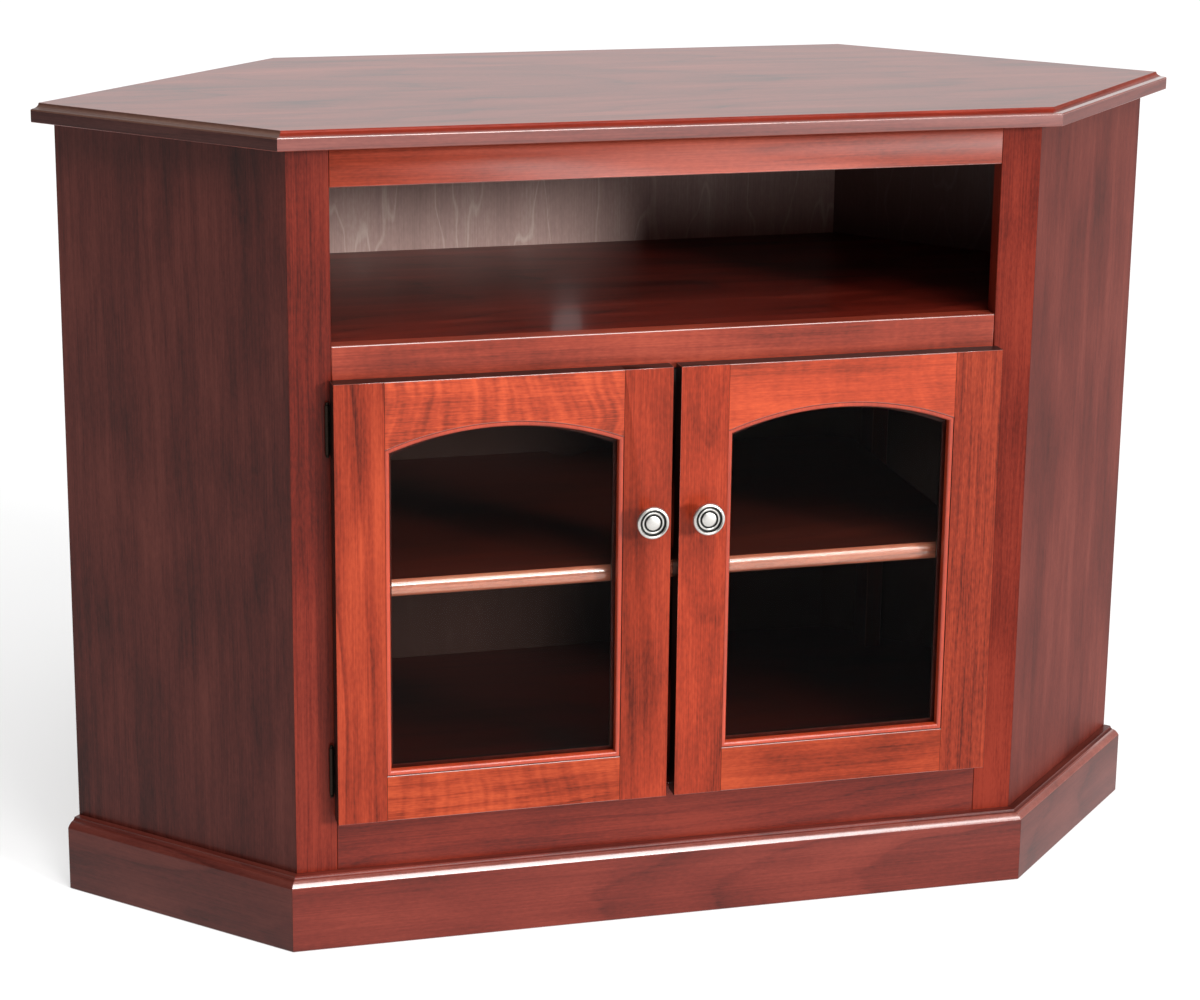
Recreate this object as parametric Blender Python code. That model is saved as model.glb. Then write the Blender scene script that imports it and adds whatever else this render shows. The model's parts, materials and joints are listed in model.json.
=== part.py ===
"""Corner television cabinet with a solid top, an open bay, and two arched glass doors.

Units are metres and +Z is up. Plan sizes are measured from the front face of the face frame
(y = 0, the room is at -Y) and from the middle of the cabinet (x = 0). The empty cabinet_origin
then moves everything so that the world origin is the bottom centre of the whole object.
"""
from math import cos, pi, sin, sqrt

import bmesh
import bpy

# Plan: front face, 45 degree sides, 45 degree rear diagonals, narrow back
FRONT_W = 0.770
WIDE_W = 1.172
BACK_W = 0.650
WIDE_Y = (WIDE_W - FRONT_W) / 2
BACK_Y = WIDE_Y + (WIDE_W - BACK_W) / 2
BOARD = 0.019
PLY = 0.006
GAP = 0.0003
EASE = 0.0010

# Heights
HEIGHT = 0.838
TOP_T = 0.0180
TOP_Z = HEIGHT - TOP_T
BASE_H = 0.0707
BASE_CAP_H = 0.0070
FLOOR_Z = 0.1400
BAY_FLOOR_Z = 0.6232
BAY_TOP_Z = 0.7791
LOWER_TOP_Z = 0.5840
PANEL_T = 0.018
CARCASS_FOOT_Z = 0.010

# Top edge: the moulding runs round the front and the two sides
TOP_OVERHANG = 0.0260
TOP_REAR_OVERHANG = 0.0070
TOP_EDGE = ((0.0, 0.0), (0.0, 0.0118), (0.0012, 0.0130), (0.0024, 0.0133), (0.0028, 0.0142),
            (0.0070, 0.0163), (0.0112, 0.0176), (0.0155, 0.0180))

# Base moulding
BASE_T = 0.0186
BASE_CAP_W = 0.0087
BASE_CAP_STEPS = 3

# Face frame
OPEN_HALF = 0.3431
BOTTOM_RAIL_FOOT = 0.0600

# Back
BACK_IN = 0.0285
DIAG_IN = 0.0255
BACK_FOOT_Z = 0.060
REAR_RAIL_H = 0.120
CABLE_R = 0.023
POST_HALF = 0.270
BATTEN_W = 0.040

# Adjustable shelf
SHELF_TOP_Z = 0.3790
SHELF_T = 0.0180
SHELF_FRONT_Y = 0.0040
SHELF_NOSE_R = 0.0085
SHELF_SIDE_CLEAR = 0.0016
CABLE_HOLE_ZS = (0.7200, SHELF_TOP_Z - 0.0330)
PIN_R = 0.0025
PIN_OUT = 0.0100
PIN_IN = 0.0090
FRONT_PIN_Y = 0.0125

# Doors
DOOR_BACK_Y = -0.0027
DOOR_FRONT_Y = -0.0212
DOOR_OUT = 0.3456
DOOR_MEET = 0.00375
DOOR_Z0 = 0.1345
DOOR_Z1 = 0.5904
STILE_W = 0.0503
BOTTOM_RAIL_W = 0.0480
TOP_RAIL_END_W = 0.0690
ARCH_RISE = 0.0225
ARCH_STEPS = 20
BEAD_W = 0.0050
BEAD_SET_BACK = 0.0012
GLASS_T = 0.0030
GLASS_Y = -0.0120
RETAINER_W = 0.0080
RETAINER_BACK_Y = -0.0035

# Knobs
KNOB_R = 0.0165
KNOB_OUT = 0.0240
KNOB_Z = 0.4370
KNOB_X = 0.0290
KNOB_SCREW_R = 0.0020
SCREW_HEAD_R = 0.0040

# Hinges
HINGE_R = 0.0024
PIN_BORE_R = 0.0014
HINGE_PIN_R = 0.0011
HINGE_CLEAR = 0.0004
HINGE_H = 0.050
HINGE_LEAF_T = 0.0009
DOOR_LEAF_W = 0.024
FRAME_WRAP = 0.0160
HINGE_ZS = {"top": 0.5410, "bottom": 0.1860}
AXIS_X = DOOR_OUT + HINGE_R + HINGE_CLEAR
AXIS_Y = -(HINGE_R + HINGE_CLEAR)

# Door catch, in the middle under the middle rail
CATCH_W = 0.048
CATCH_H = 0.012
CATCH_D = 0.020
STRIKE_W = 0.016
STRIKE_H = 0.011
STRIKE_T = 0.0008
STRIKE_X = 0.0125

SHIFT_Y = -((BACK_Y + TOP_REAR_OVERHANG) + (DOOR_FRONT_Y - KNOB_OUT)) / 2

WOOD = ((0.30, 0.070, 0.040), 0.35, 0.0)
DARK_WOOD = ((0.16, 0.040, 0.028), 0.35, 0.0)
PLYWOOD = ((0.22, 0.150, 0.120), 0.50, 0.0)
GLASS = ((0.75, 0.80, 0.80), 0.05, 0.0)
NICKEL = ((0.62, 0.60, 0.57), 0.30, 1.0)
STEEL = ((0.45, 0.44, 0.43), 0.35, 1.0)
BRONZE = ((0.06, 0.045, 0.035), 0.40, 1.0)
BLACK = ((0.02, 0.02, 0.02), 0.55, 0.0)


def clear_scene():
    for obj in list(bpy.data.objects):
        bpy.data.objects.remove(obj, do_unlink=True)


def empty(name, location, parent=None):
    obj = bpy.data.objects.new(name, None)
    obj.location = location
    obj.parent = parent
    bpy.context.collection.objects.link(obj)
    return obj


def principled(name, look):
    colour, roughness, metallic = look
    mat = bpy.data.materials.new(name + "_mat")
    mat.use_nodes = True
    shader = mat.node_tree.nodes["Principled BSDF"]
    shader.inputs["Base Color"].default_value = (*colour, 1.0)
    shader.inputs["Roughness"].default_value = roughness
    shader.inputs["Metallic"].default_value = metallic
    return mat


def add(name, bm, look, parent, smooth=False):
    """Turns a bmesh, drawn in plan coordinates, into a named object that hangs on its parent."""
    bmesh.ops.recalc_face_normals(bm, faces=bm.faces)
    mesh = bpy.data.meshes.new(name)
    bm.to_mesh(mesh)
    bm.free()
    if smooth:
        mesh.shade_smooth()
        mesh.set_sharp_from_angle(angle=pi / 5)
    mesh.materials.append(principled(name, look))
    obj = bpy.data.objects.new(name, mesh)
    bpy.context.collection.objects.link(obj)
    obj.parent = parent
    if parent.parent:
        obj.location = -parent.location
    return obj


def loft(levels):
    """Closed solid through rings of 3D points that all have the same count."""
    bm = bmesh.new()
    rings = [[bm.verts.new(p) for p in ring] for ring in levels]
    for low, high in zip(rings, rings[1:]):
        for i in range(len(low)):
            j = (i + 1) % len(low)
            bm.faces.new((low[i], low[j], high[j], high[i]))
    bm.faces.new(rings[0])
    bm.faces.new(rings[-1])
    return bm


def plan_prism(points, z0, z1):
    return loft([[(x, y, z) for x, y in points] for z in (z0, z1)])


def front_prism(points, y0, y1):
    """Prism of an outline drawn in the X-Z plane."""
    return loft([[(x, y, z) for x, z in points] for y in (y0, y1)])


def box(x0, x1, y0, y1, z0, z1):
    return plan_prism([(x0, y0), (x1, y0), (x1, y1), (x0, y1)], z0, z1)


def ring_prism(outer, inner, y0, y1):
    """Frame between two outlines of the X-Z plane that have the same point count."""
    bm = bmesh.new()
    loops = [[bm.verts.new((x, y, z)) for x, z in pts]
             for pts, y in ((outer, y0), (outer, y1), (inner, y1), (inner, y0))]
    for a, b in zip(loops, loops[1:] + loops[:1]):
        for i in range(len(a)):
            j = (i + 1) % len(a)
            bm.faces.new((a[i], a[j], b[j], b[i]))
    return bm


def turned(profile, steps, centre, axis):
    """Solid of revolution: profile is (radius, height) from one pole to the other."""
    x0, y0, z0 = centre
    bm = bmesh.new()
    rings = []
    for radius, height in profile:
        count = 1 if radius == 0 else steps
        ring = []
        for i in range(count):
            a = 2 * pi * i / steps
            u, v = radius * cos(a), radius * sin(a)
            offset = {"y": (u, height, v), "z": (u, v, height), "x": (height, u, v)}[axis]
            ring.append(bm.verts.new((x0 + offset[0], y0 + offset[1], z0 + offset[2])))
        rings.append(ring)
    for a, b in zip(rings, rings[1:]):
        for i in range(steps):
            j = (i + 1) % steps
            corners = [a[i % len(a)], a[j % len(a)], b[j % len(b)], b[i % len(b)]]
            bm.faces.new(list(dict.fromkeys(corners)))
    return bm


def ease(bm, test, width=EASE):
    """Rounds the edges whose two ends both pass the test."""
    edges = [e for e in bm.edges if all(test(*v.co) for v in e.verts)]
    bmesh.ops.bevel(bm, geom=edges, offset=width, offset_type="OFFSET", segments=2,
                    profile=0.5, affect="EDGES", clamp_overlap=True)
    return bm


def boolean(target, other_bm, operation):
    """Cuts or joins a guide solid, which stays in the file but is not part of the object."""
    mesh = bpy.data.meshes.new(target.name + "_guide")
    bmesh.ops.recalc_face_normals(other_bm, faces=other_bm.faces)
    other_bm.to_mesh(mesh)
    other_bm.free()
    guide = bpy.data.objects.new(mesh.name, mesh)
    bpy.context.collection.objects.link(guide)
    guide.parent = target.parent
    guide.location = target.location
    guide.hide_render = True
    guide.display_type = "WIRE"
    mod = target.modifiers.new(operation.lower(), "BOOLEAN")
    mod.operation = operation
    mod.solver = "EXACT"
    mod.object = guide


def near(a, b):
    return abs(a - b) < 1e-6


def line_meet(a, b):
    """Meeting point of two lines given as (nx, ny, d) with nx*x + ny*y = d."""
    det = a[0] * b[1] - a[1] * b[0]
    return ((a[2] * b[1] - a[1] * b[2]) / det, (a[0] * b[2] - a[2] * b[0]) / det)


def outline_lines(front, side, diagonal, back):
    """Left half of the plan as lines, each moved outwards by its offset."""
    r = sqrt(0.5)
    side_at = FRONT_W / 2 * r
    diag_at = (WIDE_W / 2 + WIDE_Y) * r
    return ((0.0, -1.0, front), (-r, -r, side_at + side), (-r, r, diag_at + diagonal),
            (0.0, 1.0, BACK_Y + back))


def hexagon(front, side, diagonal, back):
    """Six-sided plan outline moved outwards by the given offsets, anticlockwise."""
    lines = outline_lines(front, side, diagonal, back)
    left = [line_meet(a, b) for a, b in zip(lines, lines[1:])]
    right = [(-x, y) for x, y in left]
    return [*reversed(left), *right]


def mirrored(points, side):
    return [(side * x, y) for x, y in points]


def side_band(inner, outer, back):
    """Plan of a board along the left side, mitred at the front, between two offsets."""
    diagonal = outline_lines(0, 0, back, 0)[2]
    points = []
    for offset in (outer, inner):
        shifted = outline_lines(offset, offset, 0, 0)
        ends = [line_meet(shifted[0], shifted[1]), line_meet(shifted[1], diagonal)]
        points.extend(ends if offset == outer else reversed(ends))
    return points


def front_band(inner, outer):
    """Plan of a board along the front, mitred at both ends, between two offsets."""
    points = []
    for offset in (outer, inner):
        lines = outline_lines(offset, offset, 0, 0)
        x, y = line_meet(lines[0], lines[1])
        points.append((x, y))
    (xo, yo), (xi, yi) = points
    trim = GAP / 2 / cos(pi / 8)
    return [(xo + trim, yo), (-xo - trim, yo), (-xi - trim, yi), (xi + trim, yi)]


def top_panel(root):
    rings = []
    for inset, z in TOP_EDGE:
        outset = TOP_OVERHANG - inset
        plan = hexagon(outset, outset, TOP_REAR_OVERHANG, TOP_REAR_OVERHANG)
        rings.append([(x, y, TOP_Z + z) for x, y in plan])
    add("top_panel", loft(rings), WOOD, root)


def cap_levels():
    """Offsets and heights of the base moulding's hollow upper edge, as a quarter cove."""
    levels = [(BASE_T, 0.0)]
    for i in range(BASE_CAP_STEPS + 1):
        a = pi / 2 * i / BASE_CAP_STEPS
        levels.append((BASE_T - BASE_CAP_W * (1 - cos(a)), BASE_H + BASE_CAP_H * sin(a)))
    return levels


def base_mouldings(root):
    front, left = [], []
    for outset, z in cap_levels():
        front.append([(x, y, z) for x, y in front_band(GAP, outset)])
        left.append([(x, y, z) for x, y in side_band(GAP, outset, 0)])
    add("base_front", loft(front), WOOD, root)
    add("base_left", loft(left), WOOD, root)
    add("base_right", loft([[(-x, y, z) for x, y, z in ring] for ring in left]), WOOD, root)


def face_frame(root):
    top = TOP_Z - GAP
    lines = outline_lines(-BOARD, -BOARD, 0, 0)
    back_corner = line_meet(lines[0], lines[1])
    trim = GAP / 2 / cos(pi / 8)
    stile = [(-FRONT_W / 2 + trim, 0), (-OPEN_HALF, 0), (-OPEN_HALF, BOARD),
             (back_corner[0] + trim, BOARD)]
    for side, word in ((1, "left"), (-1, "right")):
        bm = plan_prism(mirrored(stile, side), CARCASS_FOOT_Z, top)
        ease(bm, lambda x, y, z: near(abs(x), OPEN_HALF) and near(y, 0))
        add("frame_stile_" + word, bm, WOOD, root)
    half = OPEN_HALF - GAP
    spans = {"top": (BAY_TOP_Z, top), "middle": (LOWER_TOP_Z, BAY_FLOOR_Z),
             "bottom": (BOTTOM_RAIL_FOOT, FLOOR_Z)}
    for word, (z0, z1) in spans.items():
        bm = box(-half, half, 0, BOARD, z0, z1)
        eased = {z0, z1} - {top, BOTTOM_RAIL_FOOT}
        ease(bm, lambda x, y, z: near(y, 0) and any(near(z, e) for e in eased))
        add("frame_rail_" + word, bm, WOOD, root)


def side_panels(root):
    plan = side_band(-BOARD, 0, 0)
    for side, word in ((1, "left"), (-1, "right")):
        bm = plan_prism(mirrored(plan, side), CARCASS_FOOT_Z, TOP_Z - GAP)
        add("side_panel_" + word, bm, DARK_WOOD, root)


def back_board(root):
    """Narrow back with a cable hole for the bay and another behind the adjustable shelf."""
    y0 = BACK_Y - BACK_IN
    diagonal = outline_lines(0, 0, -DIAG_IN - GAP, 0)[2]
    x0 = line_meet(diagonal, (0, 1, y0))[0]
    x1 = line_meet(diagonal, (0, 1, y0 + PLY))[0]
    plan = [(x0, y0), (x1, y0 + PLY), (-x1, y0 + PLY), (-x0, y0)]
    board = add("back_panel", plan_prism(plan, BACK_FOOT_Z, TOP_Z - GAP), PLYWOOD, root)
    for z in CABLE_HOLE_ZS:
        cutter = turned([(0, -PLY), (CABLE_R, -PLY), (CABLE_R, 2 * PLY), (0, 2 * PLY)],
                        24, (0, y0, z), "y")
        boolean(board, cutter, "DIFFERENCE")


def diagonal_boards(root):
    side = outline_lines(0, -BOARD - GAP, 0, 0)[1]
    outer = outline_lines(0, 0, -DIAG_IN + PLY, 0)[2]
    inner = outline_lines(0, 0, -DIAG_IN, 0)[2]
    back = (0, 1, BACK_Y - BACK_IN + PLY)
    plan = [line_meet(side, outer), line_meet(side, inner), line_meet(inner, back),
            line_meet(outer, back)]
    for sign, word in ((1, "left"), (-1, "right")):
        bm = plan_prism(mirrored(plan, sign), BACK_FOOT_Z, TOP_Z - GAP)
        add("rear_panel_" + word, bm, PLYWOOD, root)


def rear_posts(root):
    """Posts outside the back's two corners, which the thin boards are nailed to."""
    y0 = BACK_Y - BACK_IN + PLY + GAP
    outline = outline_lines(0, 0, 0, 0)
    plan = [(-POST_HALF, y0), (-POST_HALF, BACK_Y), line_meet(outline[2], outline[3]),
            line_meet(outline[2], (0, 1, y0))]
    for sign, word in ((1, "left"), (-1, "right")):
        bm = plan_prism(mirrored(plan, sign), 0, TOP_Z - GAP)
        add("rear_post_" + word, bm, DARK_WOOD, root)
    half = POST_HALF - GAP
    add("rear_base_rail", box(-half, half, y0, BACK_Y, 0, REAR_RAIL_H), DARK_WOOD, root)


def inner_plan():
    return hexagon(-BOARD - GAP, -BOARD - GAP, -DIAG_IN - GAP, -BACK_IN - GAP)


def fixed_shelves(root):
    add("cabinet_floor", plan_prism(inner_plan(), FLOOR_Z - PANEL_T, FLOOR_Z), WOOD, root)
    add("bay_floor", plan_prism(inner_plan(), BAY_FLOOR_Z - PANEL_T, BAY_FLOOR_Z), WOOD, root)


def batten_y():
    """Front and back of the battens that carry the shelf's rear pins."""
    diagonal = outline_lines(0, 0, -DIAG_IN - GAP, 0)[2]
    y1 = line_meet(diagonal, (1, 0, -OPEN_HALF - BOARD))[1]
    return y1 - BATTEN_W, y1


def shelf_battens(root):
    y0, y1 = batten_y()
    z0, z1 = FLOOR_Z + GAP, BAY_FLOOR_Z - PANEL_T - GAP
    for sign, word in ((-1, "left"), (1, "right")):
        xs = sorted((sign * OPEN_HALF, sign * (OPEN_HALF + BOARD)))
        batten = add("shelf_batten_" + word, box(*xs, y0, y1, z0, z1), DARK_WOOD, root)
        pin_hole(batten, sign, (y0 + y1) / 2)


def pin_height():
    return SHELF_TOP_Z - SHELF_T - GAP - PIN_R


def pin_hole(board, sign, y):
    """Blind bore for a shelf pin, from the board's inner face."""
    r = PIN_R + GAP
    profile = [(0, -0.002), (r, -0.002), (r, PIN_IN + GAP), (0, PIN_IN + GAP)]
    bore = turned([(radius, sign * h) for radius, h in profile], 16,
                  (sign * OPEN_HALF, y, pin_height()), "x")
    boolean(board, bore, "DIFFERENCE")


def shelf_pins(root):
    rear_y = sum(batten_y()) / 2
    for sign, word in ((-1, "left"), (1, "right")):
        pin_hole(bpy.data.objects["frame_stile_" + word], sign, FRONT_PIN_Y)
        for y, place in ((FRONT_PIN_Y, "front"), (rear_y, "rear")):
            tip = 0.0006
            profile = [(0, -PIN_OUT), (PIN_R - tip, -PIN_OUT), (PIN_R, -PIN_OUT + tip),
                       (PIN_R, PIN_IN), (0, PIN_IN)]
            bm = turned([(radius, sign * h) for radius, h in profile], 16,
                        (sign * OPEN_HALF, y, pin_height()), "x")
            add("shelf_pin_%s_%s" % (place, word), bm, NICKEL, root, smooth=True)


def adjustable_shelf(root):
    """Loose shelf with a round front edge, clipped rear corners and a cable notch."""
    half = OPEN_HALF - SHELF_SIDE_CLEAR
    back = BACK_Y - BACK_IN - 2 * GAP
    diagonal = outline_lines(0, 0, -DIAG_IN - 2 * GAP, 0)[2]
    x_back = line_meet(diagonal, (0, 1, back))[0]
    y_side = line_meet(diagonal, (1, 0, -half))[1]
    notch = [(CABLE_R * cos(a), back - CABLE_R * sin(a))
             for a in (pi * i / 12 for i in range(13))]
    plan = [(-half, SHELF_FRONT_Y), (half, SHELF_FRONT_Y), (half, y_side), (-x_back, back),
            *notch, (x_back, back), (-half, y_side)]
    bm = plan_prism(plan, SHELF_TOP_Z - SHELF_T, SHELF_TOP_Z)
    edges = [e for e in bm.edges if all(near(v.co.y, SHELF_FRONT_Y) for v in e.verts)
             and near(e.verts[0].co.z, e.verts[1].co.z)]
    bmesh.ops.bevel(bm, geom=edges, offset=SHELF_NOSE_R, offset_type="OFFSET", segments=5,
                    profile=0.5, affect="EDGES")
    holder = empty("shelf_slide", (0, back / 2, SHELF_TOP_Z - SHELF_T), root)
    add("adjustable_shelf", bm, WOOD, holder)


def arch(x0, x1, z_end, rise, steps=ARCH_STEPS):
    """Points of a circular arch from x0 to x1 that peaks by rise over its ends."""
    half = abs(x1 - x0) / 2
    radius = (half * half + rise * rise) / (2 * rise)
    middle, centre = (x0 + x1) / 2, z_end + rise - radius
    points = []
    for i in range(steps + 1):
        x = x0 + (x1 - x0) * i / steps
        points.append((x, centre + sqrt(radius ** 2 - (x - middle) ** 2)))
    return points


def pane(side, inset):
    """Outline of the door's arched opening, moved inwards by inset."""
    x0 = -DOOR_OUT + STILE_W + inset
    x1 = -DOOR_MEET - STILE_W - inset
    z0 = DOOR_Z0 + BOTTOM_RAIL_W + inset
    z_end = DOOR_Z1 - TOP_RAIL_END_W - inset
    points = [(x1, z0), (x0, z0), *arch(x0, x1, z_end, ARCH_RISE)]
    return [(-side * x, z) for x, z in points]


def door_frame(side, word, hinge):
    """side is -1 for the left door and 1 for the right one."""
    inner0, inner1 = DOOR_OUT - STILE_W, DOOR_MEET + STILE_W
    y0, y1 = DOOR_FRONT_Y, DOOR_BACK_Y
    for part, a, b in (("hinge_stile", DOOR_OUT, inner0), ("meeting_stile", inner1, DOOR_MEET)):
        xs = sorted((side * a, side * b))
        bm = box(*xs, y0, y1, DOOR_Z0, DOOR_Z1)
        outer = side * (DOOR_OUT if part == "hinge_stile" else DOOR_MEET)
        ease(bm, lambda x, y, z: near(y, y0) and near(x, outer))
        add("%s_door_%s" % (word, part), bm, WOOD, hinge)
    xs = [side * (inner1 + GAP), side * (inner0 - GAP)]
    bm = box(min(xs), max(xs), y0, y1, DOOR_Z0, DOOR_Z0 + BOTTOM_RAIL_W)
    add("%s_door_bottom_rail" % word, bm, WOOD, hinge)
    top = arch(min(xs), max(xs), DOOR_Z1 - TOP_RAIL_END_W, ARCH_RISE)
    outline = [*top, (max(xs), DOOR_Z1), (min(xs), DOOR_Z1)]
    add("%s_door_top_rail" % word, front_prism(outline, y0, y1), WOOD, hinge)


def door_glazing(side, word, hinge):
    bead = ring_prism(pane(side, GAP), pane(side, BEAD_W), DOOR_FRONT_Y + BEAD_SET_BACK,
                      GLASS_Y - GAP)
    add("%s_door_bead" % word, bead, WOOD, hinge)
    glass = front_prism(pane(side, 2 * GAP), GLASS_Y, GLASS_Y + GLASS_T)
    add("%s_door_glass" % word, glass, GLASS, hinge)
    stop = ring_prism(pane(side, GAP), pane(side, RETAINER_W), GLASS_Y + GLASS_T + GAP,
                      RETAINER_BACK_Y)
    add("%s_door_glass_stop" % word, stop, DARK_WOOD, hinge)


def knob(side, word, hinge):
    """Turned metal knob with ring grooves, held by a screw from behind the stile."""
    front = -KNOB_OUT
    r = KNOB_R
    groove = 0.0009
    profile = [(0, front + groove), (0.0040, front + groove), (0.0068, front + 2.2 * groove),
               (0.0078, front + 2.2 * groove), (0.0090, front + groove), (0.0108, front + groove),
               (0.0118, front + 2.2 * groove), (0.0128, front + 2.2 * groove), (0.0138, front),
               (0.0152, front), (r, front + 0.0016), (r, front + 0.0046),
               (0.0138, front + 0.0082), (0.0080, front + 0.0105), (0.0058, front + 0.0140),
               (0.0058, front + 0.0190), (0.0078, front + 0.0222), (0.0078, -GAP),
               (KNOB_SCREW_R + GAP, -GAP), (KNOB_SCREW_R + GAP, front + 0.0110),
               (0, front + 0.0110)]
    bm = turned(profile, 24, (side * KNOB_X, DOOR_FRONT_Y, KNOB_Z), "y")
    add("%s_door_knob" % word, bm, NICKEL, hinge, smooth=True)
    thick = DOOR_BACK_Y - DOOR_FRONT_Y
    bore_r = KNOB_SCREW_R + GAP
    bore = turned([(0, -0.004), (bore_r, -0.004), (bore_r, thick + 0.004), (0, thick + 0.004)],
                  16, (side * KNOB_X, DOOR_FRONT_Y, KNOB_Z), "y")
    boolean(bpy.data.objects["%s_door_meeting_stile" % word], bore, "DIFFERENCE")
    profile = [(0, front + 0.0120), (KNOB_SCREW_R, front + 0.0120),
               (KNOB_SCREW_R, thick + GAP), (SCREW_HEAD_R, thick + GAP),
               (SCREW_HEAD_R, thick + 0.0014), (0.0030, thick + 0.0020), (0, thick + 0.0020)]
    bm = turned(profile, 16, (side * KNOB_X, DOOR_FRONT_Y, KNOB_Z), "y")
    add("%s_door_knob_screw" % word, bm, STEEL, hinge, smooth=True)


def barrel(side, z0, z1):
    """Bored knuckle round the hinge axis."""
    bm = bmesh.new()
    steps = 12
    loops = []
    for radius, z in ((HINGE_R, z0), (HINGE_R, z1), (PIN_BORE_R, z1), (PIN_BORE_R, z0)):
        loops.append([bm.verts.new((side * AXIS_X + radius * cos(2 * pi * i / steps),
                                    AXIS_Y + radius * sin(2 * pi * i / steps), z))
                      for i in range(steps)])
    for a, b in zip(loops, loops[1:] + loops[:1]):
        for i in range(steps):
            j = (i + 1) % steps
            bm.faces.new((a[i], a[j], b[j], b[i]))
    return bm


def knuckle_spans(z):
    """Heights of the hinge's five knuckles; the frame's leaf has the odd ones."""
    pitch = HINGE_H / 5
    z0 = z - HINGE_H / 2
    return [(z0 + i * pitch + GAP / 2, z0 + (i + 1) * pitch - GAP / 2) for i in range(5)]


def leaf_plate(side, x_far, reach_x, y0, y1, z, tongues):
    """Flat leaf with tongues that reach in to its own knuckles."""
    near_x = AXIS_X - HINGE_R - 2 * HINGE_CLEAR
    z0, z1 = z - HINGE_H / 2 + GAP / 2, z + HINGE_H / 2 - GAP / 2
    outline = [(x_far, z1), (x_far, z0)]
    spans = knuckle_spans(z)
    for i, (a, b) in enumerate(spans):
        x = reach_x if i in tongues else near_x
        outline += [(x, a if i else z0), (x, b if i < 4 else z1)]
    return front_prism([(side * x, h) for x, h in outline], y0, y1)


def hinge_set(side, word, z, place, root, hinge):
    """Wrap-round cabinet hinge: frame leaf, door leaf and pin."""
    spans = knuckle_spans(z)
    y1 = -GAP
    y0 = y1 - HINGE_LEAF_T
    plate = leaf_plate(side, OPEN_HALF - GAP, AXIS_X, y0, y1, z, (0, 2, 4))
    leaf = add("%s_%s_hinge_frame_leaf" % (word, place), plate, BRONZE, root)
    xs = sorted((side * (OPEN_HALF - GAP), side * (OPEN_HALF - GAP - HINGE_LEAF_T)))
    z0, z1 = z - HINGE_H / 2 + GAP / 2, z + HINGE_H / 2 - GAP / 2
    boolean(leaf, box(*xs, y0, FRAME_WRAP, z0, z1), "UNION")
    for i in (0, 2, 4):
        boolean(leaf, barrel(side, *spans[i]), "UNION")
    y1 = DOOR_BACK_Y + GAP + HINGE_LEAF_T
    reach_x = AXIS_X - (HINGE_R + PIN_BORE_R) / 2
    plate = leaf_plate(side, DOOR_OUT - DOOR_LEAF_W, reach_x, DOOR_BACK_Y + GAP, y1, z, (1, 3))
    leaf = add("%s_%s_hinge_door_leaf" % (word, place), plate, BRONZE, hinge)
    for i in (1, 3):
        boolean(leaf, barrel(side, *spans[i]), "UNION")
    half = HINGE_H / 2
    r = HINGE_PIN_R
    profile = [(0, -half - 0.0030), (0.0014, -half - 0.0028), (0.0020, -half - 0.0016),
               (0.0016, -half - 0.0004), (r, -half - 0.0003), (r, half + 0.0003),
               (0.0016, half + 0.0004), (0.0020, half + 0.0016), (0.0014, half + 0.0028),
               (0, half + 0.0030)]
    bm = turned(profile, 12, (side * AXIS_X, AXIS_Y, z), "z")
    add("%s_%s_hinge_pin" % (word, place), bm, NICKEL, root, smooth=True)


def catch(root):
    """Double catch screwed under the middle rail, just behind the doors' strikes."""
    z1 = LOWER_TOP_Z - GAP
    y0 = DOOR_BACK_Y + 2 * GAP + STRIKE_T
    bm = box(-CATCH_W / 2, CATCH_W / 2, y0, y0 + CATCH_D, z1 - CATCH_H, z1)
    add("door_catch", bm, BLACK, root)


def strike(side, word, hinge):
    y0 = DOOR_BACK_Y + GAP
    xs = sorted((side * (STRIKE_X - STRIKE_W / 2), side * (STRIKE_X + STRIKE_W / 2)))
    z1 = LOWER_TOP_Z - GAP - 0.0005
    bm = box(*xs, y0, y0 + STRIKE_T, z1 - STRIKE_H, z1)
    add("%s_door_strike" % word, bm, STEEL, hinge)


def door(side, word, root):
    hinge = empty("%s_door_axis" % word, (side * AXIS_X, AXIS_Y, DOOR_Z0), root)
    door_frame(side, word, hinge)
    door_glazing(side, word, hinge)
    knob(side, word, hinge)
    for place, z in HINGE_ZS.items():
        hinge_set(side, word, z, place, root, hinge)
    strike(side, word, hinge)


def main():
    clear_scene()
    root = empty("cabinet_origin", (0, SHIFT_Y, 0))
    top_panel(root)
    base_mouldings(root)
    face_frame(root)
    side_panels(root)
    back_board(root)
    diagonal_boards(root)
    rear_posts(root)
    fixed_shelves(root)
    shelf_battens(root)
    shelf_pins(root)
    adjustable_shelf(root)
    catch(root)
    for side, word in ((-1, "left"), (1, "right")):
        door(side, word, root)


main()
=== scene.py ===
"""Looks of the corner television cabinet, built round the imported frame.

Boards keep the shape of their CAD solid, with their free edges eased. The mouldings, the
sticking round the glass, the knobs and the shelf are rebuilt finer. Places and outer sizes
come from the frame's nodes.
"""
import json
import math

import bmesh
import bpy
from mathutils import Matrix, Vector
from mathutils.bvhtree import BVHTree

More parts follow.
